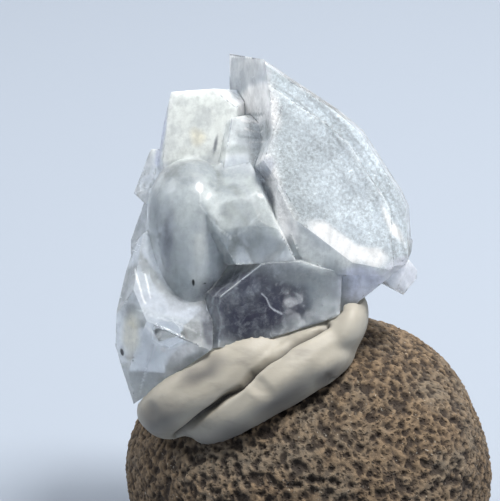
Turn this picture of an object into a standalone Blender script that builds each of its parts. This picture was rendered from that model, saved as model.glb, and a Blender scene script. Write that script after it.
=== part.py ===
"""Apophyllite specimen on its display stone.

A cluster of pseudocubic apophyllite crystals is pressed into a folded pad of putty, which holds it
on top of a rounded lava pebble full of gas pits. The origin is the middle of the pebble's flat
underside, +Z is up and the specimen faces -Y. The underside is a flat triangle, so that the pebble
stands firm on three corners, and round it the stone rises very slightly.
"""

import math
from dataclasses import dataclass

import bmesh
import bpy
from mathutils import Euler, Matrix, Vector, noise

MM = 0.001

# Driving dimensions, in millimetres and degrees
STONE_SEMI_AXES = (22.5, 21.0, 19.6)
STONE_FULLNESS = 2.1
STONE_CENTRE = (0.0, 0.0, 15.0)
STONE_LUMP = 0.7
STONE_TRIANGLES = 5300
BASE_REACH = 7.4
BASE_RISE = 1.5
BASE_SIDES = (30, 150, 270)
PIT_SPACING = 3.0
PIT_RADIUS = 0.9
PIT_DEPTH = 0.55
SPECIMEN_LEAN = 25.0
SPECIMEN_PLACE = (-6.9, -4.0, 34.75)
SEAT = (147.5, -61.0, -3.0)
PUTTY_GRAIN = 0.4
PUTTY_SOFTENING = 3
PUTTY_KEPT = 0.26
GAP = 0.3
ROUGH_BLOCK = 26.0


@dataclass(frozen=True)
class Crystal:
    """One crystal: a block cut back by flat faces.

    Each face is (azimuth, elevation, distance from the centre). Azimuth 0 faces the viewer, 90 the
    right, 180 the back and -90 the left. Centres and distances are in the leaning specimen's frame.
    A seated crystal is also cut off flat underneath, where the putty holds it.
    """

    centre: tuple
    faces: tuple
    seated: bool = True


def tetragonal(spin, tilt, prism, base, corner):
    """The faces of a plain apophyllite crystal: four prism faces, two bases and eight corners.

    Its long axis leans back by tilt after the crystal is turned by spin about that axis.
    """
    corner_rise = 29.6
    turn = Euler((math.radians(-tilt), 0, 0)).to_matrix() @ Euler((0, 0, math.radians(spin))).to_matrix()
    poles = [(turn @ direction(90 * k, 0), prism) for k in range(4)]
    poles += [(turn @ direction(0, side * 90), base) for side in (1, -1)]
    poles += [
        (turn @ direction(90 * k + 45, side * corner_rise), corner)
        for k in range(4)
        for side in (1, -1)
    ]
    return tuple((*angles_of(pole), distance) for pole, distance in poles)


def direction(azimuth, elevation):
    """The unit vector that looks out along an azimuth and elevation in degrees."""
    a, e = math.radians(azimuth), math.radians(elevation)
    return Vector((math.sin(a) * math.cos(e), -math.cos(a) * math.cos(e), math.sin(e)))


def angles_of(pole):
    """The azimuth and elevation of a vector, in degrees."""
    return math.degrees(math.atan2(pole.x, -pole.y)), math.degrees(math.asin(pole.normalized().z))


def between(front, rims, shares, cut):
    """Faces that round off the edges where a front face meets its rims, each cutting in by cut."""
    found = []
    for rim in rims:
        for share in shares:
            blend = direction(*front[:2]) * (1 - share) + direction(*rim[:2]) * share
            reach = front[2] * (1 - share) + rim[2] * share
            found.append((*angles_of(blend.normalized()), reach / blend.length - cut))
    return tuple(found)


def rounded(wide, deep, tall, drop, columns, rows):
    """Faces that touch an egg all over its front, for a crystal whose growth has rounded it off.

    The egg reaches wide to each side, deep to the front, tall above its middle and drop below it.
    """
    found = []
    for azimuth in columns:
        for elevation in rows:
            pole = direction(azimuth, elevation)
            height = tall if elevation > 0 else drop
            found.append((azimuth, elevation, Vector((wide * pole.x, deep * pole.y, height * pole.z)).length))
    return tuple(found)


FLANK_PLACE = (8, 0.5, 20)
MAIN_FACE = (10, 3, 8.4)
MAIN_RIMS = ((98, 57, 7.0), (91, 50, 7.1), (90, 33, 6.9), (90, 26, 7.6), (90, 3, 9.9))
LOWER_BEVELS = ((-17, -11, 11.05), (-8, -20, 11.15), (3, -30, 12.75))

FLANK = Crystal(
    centre=FLANK_PLACE,
    faces=(
        MAIN_FACE,
        *MAIN_RIMS,
        (-17, -11, 10.85),
        (-8, -20, 10.9),
        (3, -30, 12.5),
        *between(MAIN_FACE, MAIN_RIMS, (0.35, 0.75), 0.22),
        (-71, -4, 8.4),
        (-90, 0, 11.1),
        (91, -27, 13.1),
        (91, -51, 14.0),
        (12, -33, 13.4),
        (-170, -3, 8.2),
    ),
)
BELLY = Crystal(
    centre=FLANK_PLACE,
    faces=(
        (10, 3, 8.65),
        *((azimuth, elevation, distance - 2.3) for azimuth, elevation, distance in MAIN_RIMS),
        *LOWER_BEVELS,
        (-30, -16.6, 11.14),
        (-71, -4, 8.4),
        (-90, -21, 6.0),
        (-90, -41, 8.2),
        (-90, -88, 11.4),
        (91, -51, 13.4),
        (180, 0, 2.0),
    ),
)
LENS = Crystal(
    centre=FLANK_PLACE,
    faces=(
        (10, 3, 8.67),
        (-78, 20, 9.0),
        (-70, -33, 7.4),
        (90, 30, 0.0),
        (90, -40, 2.0),
        (0, -85, 6.0),
        (180, 0, 3.0),
    ),
)
KEEL = Crystal(
    centre=(1, -2, 6),
    faces=(
        (7, -16, 5.5),
        (-44, -10, 8.0),
        (58, 69, 6.3),
        (88, -2, 9.2),
        (-85, -3, 7.8),
        (98, -83, 5.3),
        (91, -68, 5.4),
        (-90, -42, 9.2),
        (-50, 42, 6.0),
        (-8, 78, 5.15),
        (180, -5, 12),
    ),
)
LEFT_LOBE = Crystal(
    centre=(-7.5, -3, 16.0),
    faces=(
        *rounded(5.3, 6.6, 6.4, 12.6, (-90, -65, -40, -15, 10, 35, 60), (-62, -38, -16, 5, 27, 50, 72)),
        (90, 10, 5.2),
        (180, 0, 11),
    ),
)
RIGHT_FRONT = (4, 14, 6.6)
RIGHT_RIMS = ((-90, 80, 7.25), (90, 70, 6.35), (89, 24, 2.45), (88, 27, 2.6))
RIGHT_LOBE = Crystal(
    centre=(0, -3, 15),
    faces=(
        RIGHT_FRONT,
        *RIGHT_RIMS,
        *between(RIGHT_FRONT, RIGHT_RIMS[:3], (0.2, 0.4, 0.6, 0.8), 0.45),
        (-5, 42, 6.42),
        (-65, -11, 7.6),
        (-62, -36, 7.0),
        (8, -14, 6.9),
        (90, -87, 5.2),
        (180, 0, 9),
    ),
)
SPEAR = Crystal(
    centre=(-11, -3, 3),
    faces=(
        (8, 16, 4.5),
        (-67, 15, 5.4),
        (-47, -9, 4.5),
        (-53, -24, 5.9),
        (-14, -28, 4.52),
        (-90, 18, 5.9),
        (-90, 13, 5.5),
        (-90, 3, 5.4),
        (-90, -17, 6.2),
        (94, -53, 5.9),
        (-90, 55, 9.7),
        (90, 0, 6.0),
        (180, 0, 8),
        (180, -50, 8.6),
        (-90, -80, 10.35),
    ),
    seated=False,
)
SHOULDER = Crystal(
    centre=(-6, 1, 24),
    faces=(
        (-8, 6, 5.0),
        (-60, 8, 6.2),
        (-90, 86, 6.4),
        (-90, 14, 5.3),
        (-90, 9, 5.2),
        (60, 50, 7.0),
        (75, 4, 5.3),
        (172, -6, 7),
        (0, -70, 8),
    ),
)
KNUCKLE = Crystal(
    centre=(-1.8, -1, 23),
    faces=(
        (6, 8, 4.4),
        (-60, 12, 3.6),
        (-90, 50, 3.8),
        (-80, 78, 4.2),
        (60, 60, 4.8),
        (180, 0, 6),
        (90, -5, 4.0),
        (0, -70, 5.0),
    ),
)
EAR = Crystal(
    centre=(-12, 1, 20),
    faces=(
        (-20, 5, 3.2),
        (-90, 21, 1.6),
        (-90, 35, 2.2),
        (-90, -47, 3.0),
        (-90, 88, 3.4),
        (90, 0, 4),
        (180, 0, 4),
    ),
    seated=False,
)
CHIP = Crystal(
    centre=(17, 1, 8.6),
    faces=(
        (-15, 12, 2.0),
        (40, -10, 2.2),
        (90, 40, 2.1),
        (90, -5, 2.4),
        (90, -40, 2.2),
        (-90, -62, 1.9),
        (-90, 30, 3.0),
        (180, 0, 3.0),
    ),
    seated=False,
)
BUMP = Crystal(
    centre=(17.2, 2, 12),
    faces=(
        (0, 10, 1.6),
        (60, 5, 1.7),
        (90, 45, 1.7),
        (90, -10, 1.7),
        (90, -50, 1.6),
        (-90, 0, 3.0),
        (180, 0, 2.0),
        (0, 85, 1.5),
    ),
    seated=False,
)
BACK_TOWER = Crystal(centre=(3, 6, 19), faces=tetragonal(28, -8, 6.6, 10.0, 8.4))
BACK_BLOCK = Crystal(centre=(6, 6, 12), faces=tetragonal(-12, 14, 6.4, 8.0, 7.9))
BACK_LEFT = Crystal(centre=(-7, 5, 12), faces=tetragonal(30, 6, 6.0, 10.0, 7.8))
CRYSTALS = (
    FLANK,
    BELLY,
    LENS,
    KEEL,
    LEFT_LOBE,
    RIGHT_LOBE,
    SPEAR,
    SHOULDER,
    KNUCKLE,
    EAR,
    CHIP,
    BUMP,
    BACK_TOWER,
    BACK_BLOCK,
    BACK_LEFT,
)


@dataclass(frozen=True)
class Roll:
    """One roll of putty: a lumpy ellipsoid in the leaning specimen's frame, turned about the view line."""

    centre: tuple
    semi_axes: tuple
    turn: float


ROLLS = (
    Roll(centre=(-3.7, -1.0, -3.3), semi_axes=(12.0, 7.3, 5.0), turn=33),
    Roll(centre=(2.6, -1.6, -3.9), semi_axes=(12.8, 8.2, 4.3), turn=35.6),
    Roll(centre=(7.0, -1.7, -2.3), semi_axes=(5.4, 7.2, 3.0), turn=32),
    Roll(centre=(10.4, -0.9, 2.0), semi_axes=(4.8, 7.0, 2.7), turn=65),
    Roll(centre=(1.5, 4.0, 1.8), semi_axes=(12.5, 9.0, 5.0), turn=20),
)


def crystal_mesh(crystal, grow=0.0):
    """The crystal's closed mesh in the specimen's frame, with each face moved out by grow."""
    shape = bmesh.new()
    bmesh.ops.create_cube(shape, size=2 * ROUGH_BLOCK)
    for azimuth, elevation, distance in crystal.faces:
        slice_off(shape, direction(azimuth, elevation), distance + grow)
    bmesh.ops.translate(shape, verts=shape.verts[:], vec=crystal.centre)
    if crystal.seated:
        slice_off(shape, direction(*SEAT[:2]), SEAT[2] + grow)
    bmesh.ops.recalc_face_normals(shape, faces=shape.faces[:])
    return shape


def slice_off(shape, pole, distance):
    """Cuts away what lies further out along pole than distance, and closes the cut with one flat face."""
    cut = bmesh.ops.bisect_plane(
        shape,
        geom=shape.verts[:] + shape.edges[:] + shape.faces[:],
        plane_co=pole * distance,
        plane_no=pole,
        clear_outer=True,
    )
    rim = [item for item in cut["geom_cut"] if isinstance(item, bmesh.types.BMEdge)]
    if rim:
        bmesh.ops.contextual_create(shape, geom=rim)


def stone_mesh(subdivisions, grow=0.0, pitted=True):
    """The pebble's closed mesh in the row's frame, with its surface moved out by grow."""
    shape = bmesh.new()
    bmesh.ops.create_icosphere(shape, subdivisions=subdivisions, radius=1)
    for vert in shape.verts:
        vert.co = stone_point(vert.co.normalized(), grow, pitted)
    return shape


def ground_off():
    """A block whose underside is a flat triangle with gently rising sides, to cut the pebble with."""
    shape = bmesh.new()
    bmesh.ops.create_cube(shape, size=2 * ROUGH_BLOCK)
    bmesh.ops.translate(shape, verts=shape.verts[:], vec=STONE_CENTRE)
    slice_off(shape, Vector((0, 0, -1)), 0.0)
    for azimuth in BASE_SIDES:
        side = direction(azimuth, BASE_RISE - 90)
        slice_off(shape, side, BASE_REACH * math.sin(math.radians(BASE_RISE)))
    bmesh.ops.recalc_face_normals(shape, faces=shape.faces[:])
    return shape


def stone_point(way, grow, pitted):
    """The point of the pebble's surface that lies this way from its centre."""
    fullness = sum(abs(way[k] / STONE_SEMI_AXES[k]) ** STONE_FULLNESS for k in range(3))
    reach = fullness ** (-1 / STONE_FULLNESS)
    lump = STONE_LUMP * noise.noise(way * 2.3 + Vector((4.1, 0.7, 2.2)))
    pit = pit_depth(way * reach) if pitted else 0.0
    return Vector(STONE_CENTRE) + way * (reach + lump - pit + grow)


def pit_depth(point):
    """How deep the gas pits go at a point of the pebble."""
    distances, centres = noise.voronoi(point / PIT_SPACING)
    size = PIT_RADIUS * (0.75 + 0.45 * noise.noise(centres[0] * 5.3))
    inside = 1 - (distances[0] * PIT_SPACING / size) ** 2
    return PIT_DEPTH * math.sqrt(inside) if inside > 0 else 0.0


def roll_mesh(roll):
    """One lumpy roll of putty in the specimen's frame."""
    shape = bmesh.new()
    bmesh.ops.create_icosphere(shape, subdivisions=5, radius=1)
    turn = Euler((0, math.radians(-roll.turn), 0)).to_matrix()
    for vert in shape.verts:
        lump = 1 + 0.06 * noise.noise(vert.co * 1.6 + Vector(roll.centre))
        vert.co = turn @ Vector([vert.co[k] * roll.semi_axes[k] * lump for k in range(3)])
    bmesh.ops.translate(shape, verts=shape.verts[:], vec=roll.centre)
    return shape


def leaning(shape):
    """The same shape, moved from the specimen's frame to the row's."""
    lean = Euler((math.radians(-SPECIMEN_LEAN), 0, 0)).to_matrix().to_4x4()
    bmesh.ops.transform(shape, verts=shape.verts[:], matrix=Matrix.Translation(SPECIMEN_PLACE) @ lean)
    return shape


def object_from(shape, name, collection):
    """A mesh object made from a bmesh, whose millimetres become metres."""
    bmesh.ops.scale(shape, vec=(MM, MM, MM), verts=shape.verts[:])
    mesh = bpy.data.meshes.new(name)
    shape.to_mesh(mesh)
    shape.free()
    obj = bpy.data.objects.new(name, mesh)
    collection.objects.link(obj)
    return obj


def new_collection(name, parent=None):
    """A collection linked to the scene, or to another collection."""
    collection = bpy.data.collections.new(name)
    (parent or bpy.context.scene.collection).children.link(collection)
    return collection


def helper_group(name, shapes, helpers):
    """A collection of hidden helper solids for a Boolean."""
    group = new_collection(name, helpers)
    for number, shape in enumerate(shapes):
        helper = object_from(shape, f"{name}_{number}", group)
        helper.hide_render = True
        helper.display_type = "WIRE"
    return group


def combine(obj, operation, group):
    """Adds a Boolean with every solid of a group."""
    modifier = obj.modifiers.new(group.name, "BOOLEAN")
    modifier.operation = operation
    modifier.operand_type = "COLLECTION"
    modifier.collection = group
    modifier.solver = "EXACT"


def knead(obj):
    """Runs a solid's lumps together: an even fine mesh, then a slight smoothing."""
    even = obj.modifiers.new("even_mesh", "REMESH")
    even.mode = "VOXEL"
    even.voxel_size = PUTTY_GRAIN * MM
    soft = obj.modifiers.new("soft_folds", "SMOOTH")
    soft.factor = 0.5
    soft.iterations = PUTTY_SOFTENING


def thin_out(obj, ratio):
    """Adds a Decimate that keeps this share of the triangles."""
    modifier = obj.modifiers.new("thin_out", "DECIMATE")
    modifier.ratio = ratio


def finish(name, colour, roughness, transmission=0.0):
    """A plain surface of the given colour."""
    material = bpy.data.materials.new(name)
    material.use_nodes = True
    surface = material.node_tree.nodes["Principled BSDF"]
    surface.inputs["Base Color"].default_value = (*colour, 1)
    surface.inputs["Roughness"].default_value = roughness
    surface.inputs["Metallic"].default_value = 0.0
    surface.inputs["Transmission Weight"].default_value = transmission
    return material


def clear_scene():
    """Removes whatever the scene holds."""
    for obj in list(bpy.data.objects):
        bpy.data.objects.remove(obj, do_unlink=True)


def add_cluster(part, helpers):
    """The intergrown crystals, fused in one solid."""
    cluster = object_from(leaning(crystal_mesh(CRYSTALS[0])), "crystal_cluster", part)
    others = [leaning(crystal_mesh(crystal)) for crystal in CRYSTALS[1:]]
    combine(cluster, "UNION", helper_group("intergrown", others, helpers))
    cluster.data.materials.append(finish("clear_crystal", (0.93, 0.95, 0.97), 0.08, 0.9))


def add_putty(part, helpers):
    """The folded pad of putty, pressed round the crystals and onto the stone."""
    putty = object_from(leaning(roll_mesh(ROLLS[0])), "putty_pad", part)
    rolls = [leaning(roll_mesh(roll)) for roll in ROLLS[1:]]
    combine(putty, "UNION", helper_group("rolls", rolls, helpers))
    knead(putty)
    pressed = [leaning(crystal_mesh(crystal, GAP)) for crystal in CRYSTALS]
    pressed.append(stone_mesh(5, GAP, pitted=False))
    combine(putty, "DIFFERENCE", helper_group("pressed", pressed, helpers))
    thin_out(putty, PUTTY_KEPT)
    putty.data.materials.append(finish("putty", (0.78, 0.75, 0.69), 0.55))


def add_stone(part, helpers):
    """The pitted lava pebble on its flat underside."""
    stone = object_from(stone_mesh(7), "lava_stone", part)
    thin_out(stone, STONE_TRIANGLES / len(stone.data.polygons))
    combine(stone, "INTERSECT", helper_group("ground_off", [ground_off()], helpers))
    stone.data.materials.append(finish("lava", (0.16, 0.11, 0.08), 0.9))


def main():
    """Builds the specimen."""
    clear_scene()
    part = new_collection("apophyllite_specimen")
    helpers = new_collection("helpers")
    helpers.hide_render = True
    add_cluster(part, helpers)
    add_putty(part, helpers)
    add_stone(part, helpers)


main()
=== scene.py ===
"""Apophyllite specimen on its display stone: the finished look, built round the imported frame.

Sizes are in millimetres unless a name says otherwise, and become metres where a mesh is made. The
specimen leans back by LEAN degrees. Its own frame has u to the right, v up along the lean and w away
from the viewer, and most places on the crystals and the putty are given there.
"""

from __future__ import annotations

import logging
import math
from dataclasses import dataclass, field
from enum import Enum
from typing import Mapping, Sequence

import bmesh
import bpy
import numpy as np
from mathutils import Matrix, Vector, noise

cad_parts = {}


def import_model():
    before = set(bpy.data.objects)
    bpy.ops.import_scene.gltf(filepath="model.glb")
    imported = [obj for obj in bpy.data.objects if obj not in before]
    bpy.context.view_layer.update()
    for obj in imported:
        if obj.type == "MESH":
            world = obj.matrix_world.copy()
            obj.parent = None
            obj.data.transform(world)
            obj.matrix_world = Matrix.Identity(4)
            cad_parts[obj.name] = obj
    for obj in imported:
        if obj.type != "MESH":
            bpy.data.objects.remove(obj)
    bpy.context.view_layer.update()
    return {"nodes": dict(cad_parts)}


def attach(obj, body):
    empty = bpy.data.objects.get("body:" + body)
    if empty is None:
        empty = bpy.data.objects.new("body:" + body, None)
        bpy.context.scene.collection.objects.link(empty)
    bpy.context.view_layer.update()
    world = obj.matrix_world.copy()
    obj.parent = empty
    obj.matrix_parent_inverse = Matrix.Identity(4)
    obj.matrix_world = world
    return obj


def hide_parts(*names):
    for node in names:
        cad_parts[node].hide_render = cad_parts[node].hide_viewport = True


LOG = logging.getLogger("specimen")

Colour = tuple[float, float, float]

MM = 0.001
ROOT = "root"
SEED = 7

LEAN = 25.0
SPECIMEN_PLACE = (-6.9, -4.0, 34.75)

RIGHT = Vector((1, 0, 0))
UP_LEAN = Vector((0, math.sin(math.radians(LEAN)), math.cos(math.radians(LEAN))))
AWAY = Vector((0, math.cos(math.radians(LEAN)), -math.sin(math.radians(LEAN))))


def row_point(u: float, v: float, w: float) -> Vector:
    """The row-frame point, in metres, of a place in the specimen's frame.

    Args:
        u: Millimetres to the right.
        v: Millimetres up along the lean.
        w: Millimetres away from the viewer.

    Returns:
        The point in metres.
    """
    return (Vector(SPECIMEN_PLACE) + RIGHT * u + UP_LEAN * v + AWAY * w) * MM


def specimen_pole(azimuth: float, elevation: float) -> Vector:
    """The row-frame direction of a pole given in the specimen's frame.

    Args:
        azimuth: Degrees round from the viewer's side, positive to the right.
        elevation: Degrees up along the lean.

    Returns:
        The unit vector.
    """
    a, e = math.radians(azimuth), math.radians(elevation)
    return RIGHT * (math.sin(a) * math.cos(e)) - AWAY * (math.cos(a) * math.cos(e)) + UP_LEAN * math.sin(e)


def smooth_rise(value: np.ndarray, start: float, end: float) -> np.ndarray:
    """A smooth step from 0 at start to 1 at end.

    Args:
        value: The values.
        start: What gives 0.
        end: What gives 1.

    Returns:
        The stepped values.
    """
    share = np.clip((value - start) / (end - start), 0, 1)
    return share * share * (3 - 2 * share)


class Wire:
    """A shader socket that takes part in Python arithmetic, each step adding a Math node."""

    def __init__(self, graph: Graph, socket: bpy.types.NodeSocket) -> None:
        """Wraps an output socket.

        Args:
            graph: The graph that holds the socket.
            socket: The output socket.
        """
        self.graph = graph
        self.socket = socket

    def _math(self, operation: str, *values: Wire | float) -> Wire:
        """One Math node on these values.

        Args:
            operation: The Math node's operation.
            values: Its inputs, in order.

        Returns:
            The result.
        """
        return self.graph.node("ShaderNodeMath", {"operation": operation}, dict(enumerate(values)))

    def __add__(self, other: Wire | float) -> Wire:
        """self + other."""
        return self._math("ADD", self, other)

    def __radd__(self, other: float) -> Wire:
        """other + self."""
        return self._math("ADD", other, self)

    def __sub__(self, other: Wire | float) -> Wire:
        """self - other."""
        return self._math("SUBTRACT", self, other)

    def __rsub__(self, other: float) -> Wire:
        """other - self."""
        return self._math("SUBTRACT", other, self)

    def __mul__(self, other: Wire | float) -> Wire:
        """self * other."""
        return self._math("MULTIPLY", self, other)

    def __rmul__(self, other: float) -> Wire:
        """other * self."""
        return self._math("MULTIPLY", other, self)

    def least(self, other: Wire | float) -> Wire:
        """The smaller of the two."""
        return self._math("MINIMUM", self, other)

    def most(self, other: Wire | float) -> Wire:
        """The larger of the two."""
        return self._math("MAXIMUM", self, other)

    def rise(self, start: float, end: float) -> Wire:
        """A smooth step from 0 at start to 1 at end.

        Args:
            start: The value that gives 0.
            end: The value that gives 1.

        Returns:
            The stepped value.
        """
        values = {"Value": self, "From Min": start, "From Max": end}
        return self.graph.node("ShaderNodeMapRange", {"interpolation_type": "SMOOTHSTEP"}, values, "Result")


class Graph:
    """A node tree, to which every node is added by one method."""

    def __init__(self, tree: bpy.types.NodeTree, output: str = "ShaderNodeOutputMaterial") -> None:
        """Empties the tree and gives it an output.

        Args:
            tree: The tree to build.
            output: The type of its output node.
        """
        self.tree = tree
        self.tree.nodes.clear()
        self.output = self.tree.nodes.new(output)

    def node(
        self,
        kind: str,
        settings: Mapping[str, object] | None = None,
        values: Mapping[str | int, object] | None = None,
        out: str | int = 0,
    ) -> Wire:
        """Adds one node.

        Args:
            kind: The node's type.
            settings: What is set on the node before its sockets; "stops" fills a ramp.
            values: Each input socket's value or link, by name or number.
            out: Which output to return.

        Returns:
            The chosen output.
        """
        made = self.tree.nodes.new(kind)
        for name, value in (settings or {}).items():
            if name == "stops":
                self._fill_ramp(made, value)
            else:
                setattr(made, name, value)
        for name, value in (values or {}).items():
            socket = made.inputs[name]
            if isinstance(value, Wire):
                self.tree.links.new(value.socket, socket)
            else:
                socket.default_value = value
        return Wire(self, made.outputs[out])

    def _fill_ramp(self, ramp: bpy.types.Node, stops: Sequence[tuple[float, Colour]]) -> None:
        """Sets a ramp's stops.

        Args:
            ramp: The ramp node.
            stops: Each stop's position and colour.
        """
        elements = ramp.color_ramp.elements
        while len(elements) < len(stops):
            elements.new(1.0)
        for element, (position, colour) in zip(elements, stops):
            element.position = position
            element.color = (*colour, 1.0)

    def ramp(self, amount: Wire, *stops: tuple[float, Colour]) -> Wire:
        """A colour that follows a value.

        Args:
            amount: The value from 0 to 1.
            stops: Each stop's position and colour.

        Returns:
            The colour.
        """
        return self.node("ShaderNodeValToRGB", {"stops": stops}, {"Fac": amount})

    def blend(
        self,
        share: Wire | float,
        first: Wire | Colour,
        second: Wire | Colour,
        mode: str = "MIX",
    ) -> Wire:
        """A mix of two colours.

        Args:
            share: How much of the second, from 0 to 1.
            first: A colour or a link.
            second: A colour or a link.
            mode: How they are mixed.

        Returns:
            The mixed colour.
        """
        pair = [value if isinstance(value, Wire) else (*value, 1.0) for value in (first, second)]
        settings = {"data_type": "RGBA", "blend_type": mode}
        return self.node("ShaderNodeMix", settings, {0: share, 6: pair[0], 7: pair[1]}, 2)

    def place(self) -> Wire:
        """The point on the surface, in the row's frame and in metres."""
        return self.node("ShaderNodeTexCoord", out="Object")

    def stored(self, name: str, out: str = "Fac") -> Wire:
        """A value that the mesh stores at its vertices.

        Args:
            name: The attribute's name.
            out: "Fac" for a number, "Color" for a colour.

        Returns:
            The value.
        """
        return self.node("ShaderNodeAttribute", {"attribute_name": name}, out=out)

    def turned(self, point: Wire, scale: Sequence[float], shift: float = 0.0, turn: float = 0.0) -> Wire:
        """The point moved, turned about the viewing line and then scaled.

        Args:
            point: The point.
            scale: One factor an axis.
            shift: Moves the pattern, so that two with one size differ.
            turn: Degrees anticlockwise.

        Returns:
            The new point.
        """
        values = {
            "Vector": point,
            "Location": (shift,) * 3,
            "Rotation": (0, math.radians(turn), 0),
            "Scale": scale,
        }
        return self.node("ShaderNodeMapping", None, values)

    def noise(self, point: Wire, size: float, detail: float = 3.0, rough: float = 0.55) -> Wire:
        """Soft noise from 0 to 1.

        Args:
            point: Where it is read, in metres.
            size: The size of its features, in millimetres.
            detail: How many finer layers it has.
            rough: How strong the finer layers are.

        Returns:
            The noise.
        """
        values = {"Vector": point, "Scale": 1 / (size * MM), "Detail": detail, "Roughness": rough}
        return self.node("ShaderNodeTexNoise", None, values, "Fac")

    def cells(self, point: Wire, size: float, feature: str = "F1") -> Wire:
        """The distance in a cell pattern, in cells.

        Args:
            point: Where it is read, in metres.
            size: The size of a cell, in millimetres.
            feature: The pattern's feature.

        Returns:
            The distance.
        """
        values = {"Vector": point, "Scale": 1 / (size * MM)}
        return self.node("ShaderNodeTexVoronoi", {"feature": feature}, values, "Distance")

    def bent(self, point: Wire, size: float, reach: float) -> Wire:
        """The point moved by a slow wandering, to bend another pattern with.

        Args:
            point: The point, in metres.
            size: The size of the wandering's features, in millimetres.
            reach: How far it reaches, in millimetres.

        Returns:
            The moved point, in metres.
        """
        slow = {"Vector": point, "Scale": 1 / (size * MM), "Detail": 2.0}
        colour = self.node("ShaderNodeTexNoise", None, slow, "Color")
        values = {0: colour, 1: (2 * reach * MM,) * 3, 2: (-reach * MM,) * 3}
        wander = self.node("ShaderNodeVectorMath", {"operation": "MULTIPLY_ADD"}, values)
        return self.node("ShaderNodeVectorMath", {"operation": "ADD"}, {0: point, 1: wander})

    def bump(self, height: Wire, depth: float, strength: float = 1.0) -> Wire:
        """A surface direction roughened by a height.

        Args:
            height: The height from 0 to 1.
            depth: What a height of 1 stands for, in millimetres.
            strength: How strongly it shows.

        Returns:
            The direction.
        """
        values = {"Height": height, "Distance": depth * MM, "Strength": strength}
        return self.node("ShaderNodeBump", None, values, "Normal")

    def principled(self, **values: object) -> Wire:
        """A Principled surface.

        Args:
            values: Its sockets' values or links, with underscores for spaces.

        Returns:
            The shader.
        """
        named = {name.replace("_", " "): value for name, value in values.items()}
        return self.node("ShaderNodeBsdfPrincipled", None, named, "BSDF")

    def end(self, surface: Wire, volume: Wire | None = None) -> None:
        """Joins the shader to the output.

        Args:
            surface: The surface shader.
            volume: The volume shader, if any.
        """
        self.tree.links.new(surface.socket, self.output.inputs["Surface"])
        if volume is not None:
            self.tree.links.new(volume.socket, self.output.inputs["Volume"])


def new_material(name: str) -> tuple[bpy.types.Material, Graph]:
    """An empty material and its graph.

    Args:
        name: The material's name.

    Returns:
        The material and the graph.
    """
    material = bpy.data.materials.new(name)
    material.use_nodes = True
    return material, Graph(material.node_tree)


@dataclass(frozen=True)
class Skin:
    """The points of a mesh in the specimen's frame, in millimetres, with what the marks need.

    Attributes:
        u: Each point's place to the right.
        v: Each point's place up the lean.
        w: Each point's place away from the viewer.
        normals: Each point's direction, in the row's frame.
        stray_u: A slow wandering from -1 to 1.
        stray_v: Another slow wandering.
    """

    u: np.ndarray
    v: np.ndarray
    w: np.ndarray
    normals: np.ndarray
    stray_u: np.ndarray
    stray_v: np.ndarray

    @classmethod
    def of(cls, mesh: bpy.types.Mesh, wave: float = 2.2) -> Skin:
        """Reads a mesh whose points are in metres in the row's frame.

        Args:
            mesh: The mesh.
            wave: The size of the wandering.

        Returns:
            Its skin.
        """
        count = len(mesh.vertices)
        points, normals = np.empty(count * 3), np.empty(count * 3)
        mesh.vertices.foreach_get("co", points)
        mesh.vertices.foreach_get("normal", normals)
        points = points.reshape(-1, 3) / MM
        local = points - np.array(SPECIMEN_PLACE)
        stray = np.array([noise.noise_vector(Vector(point) / wave) for point in points])
        return cls(
            u=local @ np.array(RIGHT),
            v=local @ np.array(UP_LEAN),
            w=local @ np.array(AWAY),
            normals=normals.reshape(-1, 3),
            stray_u=stray[:, 0],
            stray_v=stray[:, 1],
        )

    def facing(self, pole: Vector, near: float, full: float) -> np.ndarray:
        """1 where the surface looks along a pole.

        Args:
            pole: The unit direction.
            near: The cosine that gives 0.
            full: The cosine that gives 1.

        Returns:
            The mask.
        """
        return smooth_rise(self.normals @ np.array(pole), near, full)

    def ahead(self, back: float) -> np.ndarray:
        """1 on the viewer's side of a depth, where the surface looks to the viewer.

        Args:
            back: The depth behind which nothing is marked.

        Returns:
            The mask.
        """
        return (1 - smooth_rise(self.w, back - 0.6, back + 0.6)) * self.facing(-AWAY, 0.02, 0.2)


@dataclass(frozen=True)
class Patch:
    """A soft oval on the specimen's front.

    Attributes:
        u: Its centre's place to the right.
        v: Its centre's place up the lean.
        wide: Half its width.
        high: Half its height.
        turn: How far it is turned anticlockwise, in degrees.
        edge: The share of its radius over which it fades.
        stray: How far its outline wanders.
        back: The depth behind which it doesn't show.
        share: How strong it is at its middle.
    """

    u: float
    v: float
    wide: float
    high: float
    turn: float = 0.0
    edge: float = 0.4
    stray: float = 0.4
    back: float = -3.0
    share: float = 1.0

    def mask(self, skin: Skin) -> np.ndarray:
        """The share inside the oval and 0 outside it.

        Args:
            skin: The surface's points.

        Returns:
            The mask.
        """
        c, s = math.cos(math.radians(self.turn)), math.sin(math.radians(self.turn))
        du = skin.u + skin.stray_u * self.stray - self.u
        dv = skin.v + skin.stray_v * self.stray - self.v
        radius = np.hypot((du * c + dv * s) / self.wide, (dv * c - du * s) / self.high)
        inside = 1 - smooth_rise(radius, 1 - self.edge, 1 + self.edge)
        return self.share * inside * skin.ahead(self.back)


def strongest(patches: Sequence[Patch], skin: Skin) -> np.ndarray:
    """How strongly any of these ovals shows.

    Args:
        patches: The ovals.
        skin: The surface's points.

    Returns:
        The mask.
    """
    return np.maximum.reduce([patch.mask(skin) for patch in patches])


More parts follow.
